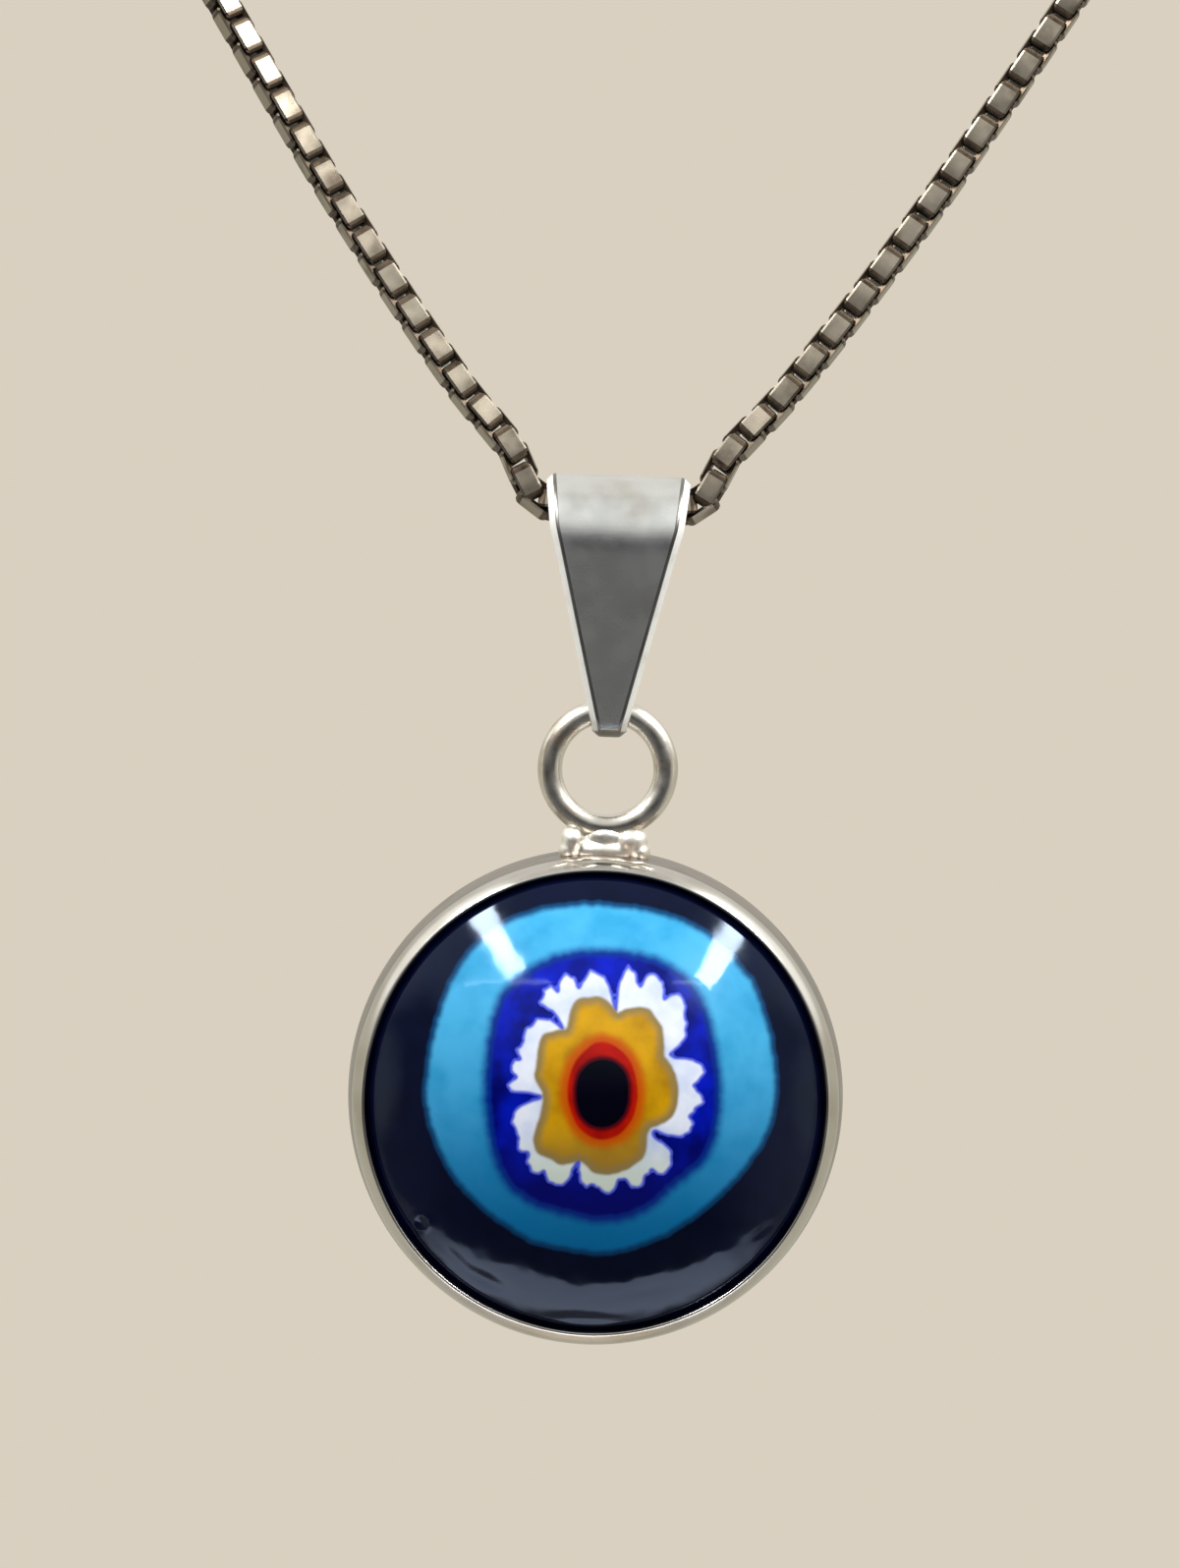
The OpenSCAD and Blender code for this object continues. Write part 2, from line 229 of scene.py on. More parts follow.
lamp("left window", (-0.54, -0.37, 0.76), (-0.12, 0.51, 0.16), (60, 280), 2.7)
lamp("right window", (0.615, -0.286, 0.734), (0.06, 0.55, 0.17), (60, 300), 2.7)
lamp("left shelf", (-0.517, -0.605, 0.605), (0.44, -0.29, 0.09), (8, 270), 0.06)
lamp("right shelf", (0.485, -0.6, 0.63), (0.15, 0.1, -0.02), (8, 90), 0.02)
fill = lamp("fill", (0.2, -0.9, 0.4), (0, 0, 1), (300, 300), 0.2)
fill.visible_glossy = False

# %% [markdown]
# ## Building meshes by hand
#
# Much of a necklace is a section that runs along a path: the wire of a ring, the folded sheet of the bail,
# the strip of a link. One small helper skins rings of points and keeps each piece a closed mesh.

# %% Helpers for skins and pieces
def skin(bm, rings, loop=False, inks=None, dark_rows=()):
    """Closed skin through rings of points in mm. With loop, the last ring joins the first.

    Inks gives the material of each strip across the section. The dark rows take the second material instead.
    """
    rows = [[bm.verts.new(Vector(p) * MM) for p in ring] for ring in rings]
    count = len(rows[0])
    for i in range(len(rows) if loop else len(rows) - 1):
        a, b = rows[i], rows[(i + 1) % len(rows)]
        for k in range(count):
            face = bm.faces.new((a[k], a[(k + 1) % count], b[(k + 1) % count], b[k]))
            face.material_index = 1 if i in dark_rows else inks[k] if inks else 0
    if not loop:
        bm.faces.new(list(reversed(rows[0])))
        bm.faces.new(rows[-1])


def make_piece(bm, name, materials, body, nodes=(), crease=38):
    """Turns a bmesh into a piece that rides on a body and stands for CAD nodes."""
    bmesh.ops.recalc_face_normals(bm, faces=bm.faces)
    for edge in bm.edges:
        edge.smooth = edge.calc_face_angle(0.0) < math.radians(crease)
    for face in bm.faces:
        face.smooth = True
    mesh = bpy.data.meshes.new(name)
    bm.to_mesh(mesh)
    bm.free()
    for material in materials:
        mesh.materials.append(material)
    piece = bpy.data.objects.new(name, mesh)
    scene.collection.objects.link(piece)
    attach(piece, body)
    if nodes:
        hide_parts(*nodes)
    triangles = sum(len(p.vertices) - 2 for p in mesh.polygons)
    print(name, "has", triangles, "triangles")


def torus(bm, middle, ring_r, wire_r, axis, around=64, sides=20):
    """A ring of wire. Its axis is the direction that looks through the ring."""
    axis = Vector(axis).normalized()
    first = axis.orthogonal().normalized()
    second = axis.cross(first)
    turns = [2 * math.pi * k / sides for k in range(sides)]
    rings = []
    for i in range(around):
        a = 2 * math.pi * i / around
        out = first * math.cos(a) + second * math.sin(a)
        rings.append([Vector(middle) + out * (ring_r + wire_r * math.cos(b)) + axis * wire_r * math.sin(b)
                      for b in turns])
    skin(bm, rings, loop=True)


# %% [markdown]
# ## Silver
#
# Polished silver is a near white mirror. What makes it look real is what has happened since: fine scratches,
# fingerprints that blur it in patches, and a little yellow tarnish where a cloth doesn't reach. The
# scratches are a bump, the prints change the roughness, and the tarnish changes the colour.

# %% Mix the silvers
def srgb(*levels):
    """Colour from levels of 0 to 255, as a picture has them, to the light that Blender reckons with."""
    light = (v / 255 / 12.92 if v <= 10 else ((v / 255 + 0.055) / 1.055) ** 2.4 for v in levels)
    return tuple(light) + (1.0,)


PENDANT = (0, -104, -130)


def in_mm(tree, stretch=(1, 1, 1), middle=(0, 0, 0)):
    """Place on the piece in mm from a middle, stretched along each direction."""
    place = node(tree, "ShaderNodeTexCoord").outputs["Object"]
    scale, shift = [v / MM for v in stretch], [-m * v for m, v in zip(middle, stretch)]
    made = node(tree, "ShaderNodeVectorMath", {0: place, 1: scale, 2: shift}, operation="MULTIPLY_ADD")
    return made.outputs[0]


def grain(tree, scale, detail=2.0, stretch=(1, 1, 1)):
    """Soft noise in mm. It is counted from the pendant, because small numbers keep fine noise clean."""
    inputs = {"Vector": in_mm(tree, stretch, PENDANT), "Scale": scale, "Detail": detail, "Roughness": 0.5}
    return node(tree, "ShaderNodeTexNoise", inputs).outputs[0]


def new_material(name):
    """A material, its node tree and its shader."""
    material = bpy.data.materials.new(name)
    material.use_nodes = True
    return material, material.node_tree, material.node_tree.nodes["Principled BSDF"]


def smear(tree, shader, scale, low, high):
    """Blurs the shine in patches, as fingers do. The roughness wanders between two values."""
    blur = node(tree, "ShaderNodeMapRange", {0: grain(tree, scale, 4.0), 1: 0.35, 2: 0.7, 3: low, 4: high})
    tree.links.new(blur.outputs[0], shader.inputs["Roughness"])


def engrave(tree, shader, lines, strength, depth):
    """Lets the light fall as if a noise were cut into the surface, to a depth in mm."""
    made = node(tree, "ShaderNodeBump", {"Height": lines, "Strength": strength, "Distance": depth * MM})
    tree.links.new(made.outputs[0], shader.inputs["Normal"])


def silver(name, bright, dull, rough, prints, scratch=0.0, stretch=(1, 1, 1), dull_share=(0.5, 0.75),
           metal=1.0):
    """Silver between two colours and two roughnesses. A higher value of prints makes finer patches."""
    material, tree, shader = new_material(name)
    shader.inputs["Metallic"].default_value = metal
    patches = smooth_step(tree, grain(tree, prints, 3.0), *dull_share)
    tree.links.new(mix_colours(tree, patches, bright, dull), shader.inputs["Base Color"])
    smear(tree, shader, prints * 1.7, *rough)
    if scratch:
        engrave(tree, shader, grain(tree, 9.0, 2.0, stretch), scratch, 0.02)
    return material


bail_silver = silver("bail silver", srgb(232, 232, 228), srgb(212, 208, 200), (0.22, 0.33), 0.5,
                     scratch=0.07, stretch=(0.12, 0.5, 1.6))
# Painted highlight: the edge silver is paler and only half a mirror, so the bail's edges look lit.
bail_edge_highlight = silver("bail edge highlight", srgb(250, 249, 244), srgb(232, 230, 222), (0.3, 0.42), 1.0, metal=0.5)
# Painted shade: the line silver is dark, for the thin groove inside the edges and the tip's underside.
bail_shade_line = silver("bail shade line", srgb(132, 130, 124), srgb(112, 109, 103), (0.3, 0.4), 0.6)
setting_silver = silver("setting silver", srgb(212, 207, 198), srgb(186, 178, 165), (0.14, 0.26), 0.45,
                        scratch=0.05, stretch=(0.4, 1, 2), dull_share=(0.4, 0.9))
# Painted shade: the wall silver is a darker copy of the setting silver, for the outside of the cup's wall.
wall_shade_silver = silver("wall shade silver", srgb(148, 138, 129), srgb(130, 119, 110), (0.28, 0.4), 0.6,
                     scratch=0.06, stretch=(0.4, 1, 2))
ring_silver = silver("ring silver", srgb(230, 224, 212), srgb(196, 180, 158), (0.2, 0.34), 1.0, scratch=0.08)
solder_silver = silver("solder silver", srgb(250, 246, 236), srgb(226, 217, 202), (0.34, 0.5), 1.0)
link_silver = silver("link silver", srgb(164, 154, 138), srgb(118, 107, 92), (0.26, 0.42), 0.9)
# Painted shade: the dark link silver goes on the ends, sides and inner faces of each link.
link_shade = silver("link shade", srgb(92, 80, 67), srgb(54, 46, 38), (0.35, 0.5), 2.0)
print("silvers:", [m.name for m in bpy.data.materials])

# %% [markdown]
# ## Box chain
#
# Each link of a box chain is a strip of silver bent into a square ring. Each ring holds the ends of its
# neighbours, turned a quarter, so that the chain shows square plates with dark slots between them. The links
# are laid along the same route as the CAD tube, one after the other by length, because a chain can't
# stretch. They are one mesh, since a thousand objects would only be slow.
#
# The ends of each link are longer, rounder and thicker here than on a real strip, and dark: painted shade,
# for the shadow in the slots. They fill the slots, so that no light shows through the chain.

# %% The route of the chain
ROUTE = [
    (0, -104, -120), (2.25, -104, -120), (2.6, -104, -119.65), (2.85, -104, -119.05), (4.5, -103.9, -117),
    (8.1, -103.5, -112), (11.3, -103, -107), (20, -101, -92.5), (35, -93.5, -67), (49, -80, -42.5),
    (57, -62, -23), (57, -43, -10.5), (48, -23, -3.5), (33, -9, -0.5), (17, -2, 0)]
CHAIN_END = (4.15, 0, 0)
LOOP_TILT = Vector((0, -0.755, 0.655))
points = [Vector(p) for p in ROUTE + [CHAIN_END]]


def course(i):
    """Direction of the route at point i."""
    if i == 0:
        return Vector((1, 0, 0))
    back = points[i] - points[i - 1]
    if i == len(points) - 1:
        return back.normalized()
    on = points[i + 1] - points[i]
    a, b = back.length, on.length
    return (back * (b / a) + on * (a / b)) / (a + b)


def along(i, u):
    """Place on the route between point i and the next, at share u of the way."""
    c = (points[i + 1] - points[i]).length
    v = u * u * (3 - 2 * u)
    bow = course(i) * (1 - u) - course(i + 1) * u
    return points[i] * (1 - v) + points[i + 1] * v + bow * (c * u * (1 - u))


STRETCH_STEPS = 60
half = [along(i, s / STRETCH_STEPS) for i in range(len(points) - 1) for s in range(STRETCH_STEPS)]
half.append(points[-1])
run = [0.0]
for a, b in zip(half, half[1:]):
    run.append(run[-1] + (b - a).length)
HALF_LENGTH = run[-1]


def place_at(length):
    """Place on the whole route, by the length from the bail's middle. The left half mirrors the right."""
    seek = min(abs(length), HALF_LENGTH)
    low, high = 0, len(run) - 1
    while high - low > 1:
        middle = (low + high) // 2
        low, high = (middle, high) if run[middle] <= seek else (low, middle)
    share = (seek - run[low]) / (run[high] - run[low])
    p = half[low].lerp(half[high], share)
    return p if length >= 0 else Vector((-p.x, p.y, p.z))


print("chain:", round(2 * HALF_LENGTH, 1), "mm from end to end of the route")

# %% [markdown]
# The links lean a little more on one side than on the other, as a fine chain does when it has been put on
# with a slight twist. The table says by how many degrees, by the length in mm from the bail's middle.

# %% The form of one link
LINK_LONG, LINK_HIGH = 1.12, 0.83
CORNER_LONG, CORNER_HIGH = 0.21, 0.15
PLATE_WIDE, PLATE_THICK, END_WIDE, END_THICK = 0.67, 0.17, 0.49, 0.27
TWIST = [(-220, -40), (-205, 0), (-90, 0), (-60, -4), (-24, -5), (-19, -5), (-16, -2), (-14, 4), (-10, 8),
         (-4, 10), (0, 12), (4, 14), (24, 16), (60, 8), (90, 0), (205, 0), (220, 40)]
CORNER_STEP = 30


def table(rows, at):
    """Value from a table of (place, value), with straight lines between its rows."""
    if at <= rows[0][0]:
        return rows[0][1]
    for (a, low), (b, high) in zip(rows, rows[1:]):
        if at <= b:
            return low + (high - low) * (at - a) / (b - a)
    return rows[-1][1]


def outline_of_link(depth):
    """Square ring with round corners, as (along the chain, out of the plate, share of the plate's width)."""
    inset_long, inset_high = depth * END_THICK, depth * PLATE_THICK
    round_long, round_high = (max(corner * (1 - depth), 0.03) for corner in (CORNER_LONG, CORNER_HIGH))
    corner = Vector((LINK_LONG / 2 - inset_long - round_long, LINK_HIGH / 2 - inset_high - round_high))
    made = []
    for quarter, (on, up_or_down) in enumerate(((1, 1), (-1, 1), (-1, -1), (1, -1))):
        for step in range(90 // CORNER_STEP + 1):
            a = math.radians(90 * quarter + CORNER_STEP * step)
            forward = corner.x * on + round_long * math.cos(a)
            outward = corner.y * up_or_down + round_high * math.sin(a)
            made.append((forward, outward, abs(math.sin(a))))
    return made


def half_width(depth, share):
    """Half the width of the strip. A plate narrows inwards, to leave room for the plates beside it."""
    plate = PLATE_WIDE + (END_WIDE - PLATE_WIDE) * depth
    return (END_WIDE + (plate - END_WIDE) * share) / 2


# Depth into the ring, place across the strip as a share of its half width, and material
SECTION = [(0.3, -1, 0), (0.05, -0.74, 0), (0.05, 0.74, 0), (0.3, 1, 1), (1, 1, 1), (1, -1, 1)]
layers = [outline_of_link(depth) for depth, _, _ in SECTION]
PLATE_ROWS = (3, 11)
END_ROWS = [row for row in range(len(layers[0])) if row not in PLATE_ROWS]
reach_of_links = HALF_LENGTH - LINK_LONG / 2
half_count = round(reach_of_links / (LINK_LONG - 2 * END_THICK))
PITCH = reach_of_links / half_count
print("a link has", len(layers[0]) * len(SECTION), "faces, and a step is", round(PITCH, 3), "mm")

# %% Lay the links along the route
# Degrees that a link strays from the twist near the pendant and farther off, and where near ends, in mm
STRAY_NEAR, STRAY_FAR, NEAR = 3, 0.5, 60
links = 2 * half_count + 1
bm = bmesh.new()
for number in range(links):
    length = (number - links // 2) * PITCH
    middle = place_at(length)
    ahead_way = (place_at(length + PITCH / 2) - place_at(length - PITCH / 2)).normalized()
    across = ahead_way.cross(LOOP_TILT).normalized()
    face = across.cross(ahead_way)
    loose = STRAY_NEAR if abs(length) < NEAR else STRAY_FAR
    wander = loose * noise.noise(Vector((length * 0.35, 0, 0)))
    twist = math.radians(table(TWIST, length) + wander + 90 * (number % 2))
    out = face * math.cos(twist) + across * math.sin(twist)
    wide = ahead_way.cross(out)
    rings = []
    for k in range(len(layers[0])):
        ring = []
        for (depth, edge, _), layer in zip(SECTION, layers):
            forward, outward, share = layer[k]
            ring.append(middle + ahead_way * forward + out * outward + wide * edge * half_width(depth, share))
        rings.append(ring)
    # The ends, sides and inner faces take the dark silver, painted shade for the slots and the inside of the
    # strip.
    skin(bm, rings, loop=True, inks=[row[2] for row in SECTION], dark_rows=END_ROWS)
make_piece(bm, "box_chain", [link_silver, link_shade], "necklace", ["chain"], crease=12)
print(links, "links, real length", round(links * PITCH, 1), "mm")

# %% [markdown]
# ## Clasp
#
# The clasp lies behind the neck, where the photograph can't show it. It is a plain ring clasp with an
# eyelet at each side. A jump ring joins each eyelet to the last link of the chain.

# %% Make the clasp
CLASP_R, CLASP_WIRE = 2.15, 0.54
EYELET_X, EYELET_R, EYELET_WIRE = 3.15, 0.7, 0.245
COLLARS, COLLAR_WIRE = (50, 130, 205, 335), 0.08
THUMB_SUNK, THUMB_LUMPS = 0.46, ((0.28, 0.0), (0.24, 0.3))
bm = bmesh.new()
torus(bm, (0, 0, 0), CLASP_R, CLASP_WIRE - 0.04, (0, 1, 0), around=96)
for collar in COLLARS:
    a = math.radians(collar)
    spot = Vector((math.cos(a), 0, math.sin(a))) * CLASP_R
    along_wire = (-math.sin(a), 0, math.cos(a))
    torus(bm, spot, CLASP_WIRE - COLLAR_WIRE, COLLAR_WIRE, along_wire, around=32, sides=8)
for side in (-1, 1):
    torus(bm, (side * EYELET_X, 0, 0), EYELET_R, EYELET_WIRE, (0, 1, 0))
thumb = Vector((0, 0, CLASP_R + CLASP_WIRE - THUMB_SUNK))
for r, h in THUMB_LUMPS:
    torus(bm, thumb + Vector((0, 0, h)), r * 0.6, r * 0.5, (0, 0, 1), around=24, sides=12)
make_piece(bm, "ring_clasp", [setting_silver], "necklace", ["clasp"])

# %% Hook the clasp to the chain
JUMP_WIRE, INTO_EYELET, INTO_LINK = 0.1, 0.28, 0.22
from_x, to_x = EYELET_X + EYELET_R - INTO_EYELET, CHAIN_END[0] + INTO_LINK
bm = bmesh.new()
for side in (-1, 1):
    middle = (side * (from_x + to_x) / 2, 0, 0)
    torus(bm, middle, (to_x - from_x) / 2, JUMP_WIRE, (0, 0.8, 1), around=40, sides=12)
make_piece(bm, "jump_rings", [ring_silver], "necklace")

# %% [markdown]
# ## Bail
#
# The bail is one strip of sheet, wide in the middle and narrow at its ends, folded over the chain and
# pinched round the ring. Its edges were rounded by tumbling. Their shine is a painted highlight, a paler
# silver, and the thin dark line inside them is painted shade, a darker silver. So the strip gets a section
# with soft edges and three silvers across it, and that section runs along the fold while its width follows
# the height.

# %% Fold the bail
CHAIN_D, CHAIN_GAP, SHEET, BAIL_H, BAIL_W = 0.84, 0.08, 0.24, 7.45, 4.1
TIP_W, BEND_R, WIRE_D, EYE_GAP = 1.0, 1.85, 0.7, 0.12
HINGE = Vector((0, -104, -120))
BAIL_TOP = CHAIN_D / 2 + CHAIN_GAP + SHEET
TIP_R = WIRE_D / 2 + EYE_GAP + SHEET
BEND_Z = BAIL_TOP - BEND_R
TIP_Z = BAIL_TOP - BAIL_H + TIP_R
BAIL_LEAN = math.degrees(math.asin((BEND_R - TIP_R) / (BEND_Z - TIP_Z)))
SHOULDER_FALL, SHOULDER_SHARE = 0.2, 0.925
# Edge of the strip (0 is its middle), distance in from that edge or share of the half width, and depth
SHEET_SECTION = [(-1, 0, -0.19), (-1, 0.03, -0.155), (-1, 0.1, -0.09), (-1, 0.17, -0.03), (-1, 0.21, -0.008),
                 (-1, 0.27, 0), (0, -0.4, 0), (0, 0.4, 0), (1, 0.27, 0),
                 (1, 0.21, -0.008), (1, 0.17, -0.03), (1, 0.1, -0.09), (1, 0.03, -0.155), (1, 0, -0.19),
                 (1, 0.04, -SHEET), (-1, 0.04, -SHEET)]
# Silver of each strip across the section: 0 the face, 1 the edge with its painted highlight, 2 the line of
# painted shade
SECTION_SILVER = [1, 1, 1, 2, 2, 0, 0, 0, 2, 2, 1, 1, 1, 0, 0, 0]
# The underside of the tip, this far below the middle of its bend, takes the dark silver as painted shade.
SHADED_TIP_DEPTH = 0.52


def bail_half_width(z):
    """Half the width of the bail at a height over the hinge."""
    shoulder, foot = BAIL_TOP - SHOULDER_FALL * BAIL_H, TIP_Z - TIP_R + SHEET
    return table([(foot, TIP_W / 2), (shoulder, SHOULDER_SHARE * BAIL_W / 2), (BAIL_TOP, BAIL_W / 2)], z)


def fold_station(radius, height, angle):
    """Outer place and outward way on a bend, with the angle from the front up, in the side view."""
    a = math.radians(angle)
    out = Vector((0, -math.cos(a), math.sin(a)))
    return Vector((0, 0, height)) + out * radius, out


TIP_STEPS, FLAT_STEPS, BEND_STEPS = 14, 20, 36
seam, front, back = -160, -BAIL_LEAN, 180 + BAIL_LEAN
stations = [fold_station(TIP_R, TIP_Z, seam + (front - seam) * i / TIP_STEPS) for i in range(TIP_STEPS + 1)]
foot_place, flat_way = stations[-1]
shoulder_place = fold_station(BEND_R, BEND_Z, front)[0]
stations += [(foot_place.lerp(shoulder_place, i / FLAT_STEPS), flat_way) for i in range(1, FLAT_STEPS)]
stations += [fold_station(BEND_R, BEND_Z, front + (back - front) * i / BEND_STEPS)
             for i in range(BEND_STEPS + 1)]
back_place, back_way = stations[-1]
foot_back = fold_station(TIP_R, TIP_Z, back)[0]
stations += [(back_place.lerp(foot_back, i / FLAT_STEPS), back_way) for i in range(1, FLAT_STEPS + 1)]
bm = bmesh.new()
rings = []
for place, out in stations:
    half_bail = bail_half_width(place.z)
    ring = []
    for edge, across, depth in SHEET_SECTION:
        from_middle = edge * (half_bail - across) if edge else half_bail * across
        ring.append(HINGE + place + out * depth + Vector((from_middle, 0, 0)))
    rings.append(ring)
skin(bm, rings, inks=SECTION_SILVER)
# Painted shade: the faces low on the tip take the dark line silver.
for face in bm.faces:
    if face.calc_center_median().z / MM < HINGE.z + TIP_Z - SHADED_TIP_DEPTH:
        face.material_index = 2
make_piece(bm, "folded_bail", [bail_silver, bail_edge_highlight, bail_shade_line], "bail", ["bail"], crease=30)

# %% [markdown]
# ## Setting
#
# A setting like this is a shallow cup with a plain wall. The edge of the wall is pushed over the glass with a
# burnisher, which leaves a narrow, rounded, slightly wavy rim. A cup is turned, so its section is spun
# round, and the wave of the rim comes from soft noise that follows the angle.

# %% Turn the cup
glass_low, glass_high = (Vector(c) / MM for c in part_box("glass_base"))
GIRDLE_R = (glass_high.x - glass_low.x) / 2
CUP_BACK_Y = -102.4
DROP = Vector(((glass_high.x + glass_low.x) / 2, CUP_BACK_Y, (glass_high.z + glass_low.z) / 2))
# The rim, the back and the hole for the glass are each a little wider than the glass.
RIM_R, BACK_R, BORE_R = GIRDLE_R + 0.33, GIRDLE_R + 0.56, GIRDLE_R + 0.06


def on_drop(u, v, h):
    """Place from the middle of the cup's back: to the right, up, and towards the front."""
    return DROP + Vector((u, -h, v))


# Radius and height over the back, from the middle of the back round the rim to the middle of the floor
CUP = [(0, 0), (3.5, 0), (BACK_R - 0.35, 0.0), (BACK_R - 0.12, 0.04), (BACK_R - 0.03, 0.13), (BACK_R, 0.3),
       (BACK_R - 0.05, 1.2), (BACK_R - 0.13, 2.1), (RIM_R + 0.05, 2.6), (RIM_R + 0.02, 2.72),
       (RIM_R - 0.04, 2.86), (RIM_R - 0.11, 2.97), (RIM_R - 0.18, 3.06), (RIM_R - 0.24, 3.12),
       (RIM_R - 0.28, 3.15), (RIM_R - 0.31, 3.145), (GIRDLE_R - 0.02, 3.1), (GIRDLE_R - 0.03, 3.0),
       (GIRDLE_R + 0.02, 2.93), (BORE_R, 2.85), (BORE_R, 0.5), (0, 0.5)]
# Rows of the cup's outer wall, which take the darker wall silver as painted shade
WALL_ROWS = range(3, 8)
AROUND = 240
RIM_WAVE, WAVE_FROM = 0.022, 2.2
bm = bmesh.new()
rows = []
for r, h in CUP:
    if r == 0:
        rows.append([bm.verts.new(on_drop(0, 0, h) * MM)])
        continue
    row = []
    for i in range(AROUND):
        a = 2 * math.pi * i / AROUND
        soft = noise.noise(Vector((math.cos(a) * 2.2, math.sin(a) * 2.2, 4.0 + h * 0.3)))
        push = RIM_WAVE * soft * max(0, (h - WAVE_FROM)) * (1 if r > BORE_R - 0.05 else 0.6)
        place = on_drop((r + push) * math.cos(a), (r + push) * math.sin(a), h + push * 0.6)
        row.append(bm.verts.new(place * MM))
    rows.append(row)
for number, (a, b) in enumerate(zip(rows, rows[1:])):
    for i in range(AROUND):
        j = (i + 1) % AROUND
        if len(a) == 1:
            face = bm.faces.new((a[0], b[j], b[i]))
        elif len(b) == 1:
            face = bm.faces.new((a[i], a[j], b[0]))
        else:
            face = bm.faces.new((a[i], a[j], b[j], b[i]))
        face.material_index = int(number in WALL_ROWS)
make_piece(bm, "cup", [setting_silver, wall_shade_silver], "drop", ["setting"], crease=60)

# %% [markdown]
# The ring and the drops of solder under it were melted together. Shapes that only cross each other would meet
# in hard lines, so the solder is built from rough lumps, turned into one skin of small cells, and smoothed.

# %% Melt the solder
setting_high = Vector(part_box("setting")[1]) / MM
RING_R, RING_WIRE = 1.65, 0.35
RING_MIDDLE = Vector((HINGE.x, HINGE.y, setting_high.z - RING_R - RING_WIRE))
WALL_TOP = DROP.z + (RIM_R + BACK_R) / 2
CELL = 0.04
# Place to the right and over the wall, half width, half height and half depth
LUMPS = [(-0.92, 0.4, 0.36, 0.42, 0.52), (0.76, 0.42, 0.47, 0.42, 0.52), (0.0, 0.52, 0.55, 0.36, 0.42),
         (0, 0.1, 1.05, 0.34, 0.44), (-1.0, 0.1, 0.34, 0.3, 0.46), (1.0, 0.1, 0.32, 0.3, 0.46)]
bm = bmesh.new()
for at_x, at_z, wide, tall, deep in LUMPS:
    made = bmesh.ops.create_icosphere(bm, subdivisions=4, radius=1.0)
    for v in made["verts"]:
        v.co = Vector((at_x + v.co.x * wide, RING_MIDDLE.y + v.co.y * deep, WALL_TOP + at_z + v.co.z * tall))
rough = bpy.data.meshes.new("rough solder")
bm.to_mesh(rough)
bm.free()
lump = bpy.data.objects.new("rough solder", rough)
scene.collection.objects.link(lump)
fuse = lump.modifiers.new("cells", "REMESH")
fuse.mode, fuse.voxel_size = "VOXEL", CELL
settle = lump.modifiers.new("calm", "SMOOTH")
settle.factor, settle.iterations = 0.6, 24
melted = bpy.data.meshes.new_from_object(lump.evaluated_get(bpy.context.evaluated_depsgraph_get()))
bpy.data.objects.remove(lump)
melted.transform(Matrix.Scale(MM, 4))
bm = bmesh.new()
bm.from_mesh(melted)
make_piece(bm, "solder", [solder_silver], "drop", crease=180)
bm = bmesh.new()
torus(bm, RING_MIDDLE, RING_R, RING_WIRE, (0, 1, 0), around=128, sides=28)
make_piece(bm, "hanging_ring", [ring_silver], "drop", crease=180)

# %% [markdown]
# ## The glass eye
#
# A millefiori eye is a slice of a glass rod, the cane, melted into a button of dark glass. The rod was built
# up from the middle outward, so the slice shows its layers: pupil, red, amber, white petals, royal blue, sky
# blue. A painted texture would blur. Here each layer is a piece of its own, and neighbours share the very
# same border.
#
# The borders are charted as (degrees, mm) from the middle of the pupil. EYE_TURN takes up
# the lean that the charts have from the picture.

# %% Chart the layers
EYE = Vector((0.17, 0.42))
EYE_TURN = 2.2
PUPIL = [(0, 0.755), (20, 0.8), (45, 0.9), (70, 0.97), (90, 0.98), (110, 0.95), (135, 0.87), (160, 0.78),
         (180, 0.745), (200, 0.77), (225, 0.86), (250, 0.94), (270, 0.955), (290, 0.93), (315, 0.86),
         (340, 0.78)]
RED = [(0, 1.05), (25, 1.1), (50, 1.27), (72, 1.42), (88, 1.5), (100, 1.47), (125, 1.26), (150, 1.1),
       (180, 1.02), (210, 1.06), (235, 1.2), (258, 1.31), (275, 1.33), (295, 1.28), (320, 1.15),
       (345, 1.06)]
AMBER = [(-1.7, 2.08), (8.4, 2.08), (20.4, 2.04), (31.6, 1.99), (38.9, 2.17), (48, 2.44), (54.8, 2.54),
         (61.5, 2.65), (66.5, 2.56), (73.3, 2.41), (78.5, 2.25), (86.3, 2.51), (90.9, 2.63), (97.9, 2.66),
         (103.1, 2.68), (107.3, 2.58), (112, 2.32), (118.6, 2.02), (126, 2.13), (136, 2.27), (145, 2.13),
         (153, 2.0), (166.7, 1.88), (178.3, 1.62), (188.4, 1.63), (200.3, 1.8), (209, 2.07), (215.5, 2.31),
         (223.3, 2.4), (231.5, 2.29), (239.5, 2.25), (246.7, 2.06), (252.3, 1.93), (257.7, 2.0),
         (263.5, 2.15), (272.1, 2.23), (282.8, 2.21), (294.6, 2.15), (304, 2.04), (310.5, 1.85),
         (317.5, 1.66), (325.7, 1.63), (333.4, 1.82), (341, 2.0), (349.2, 2.07)]
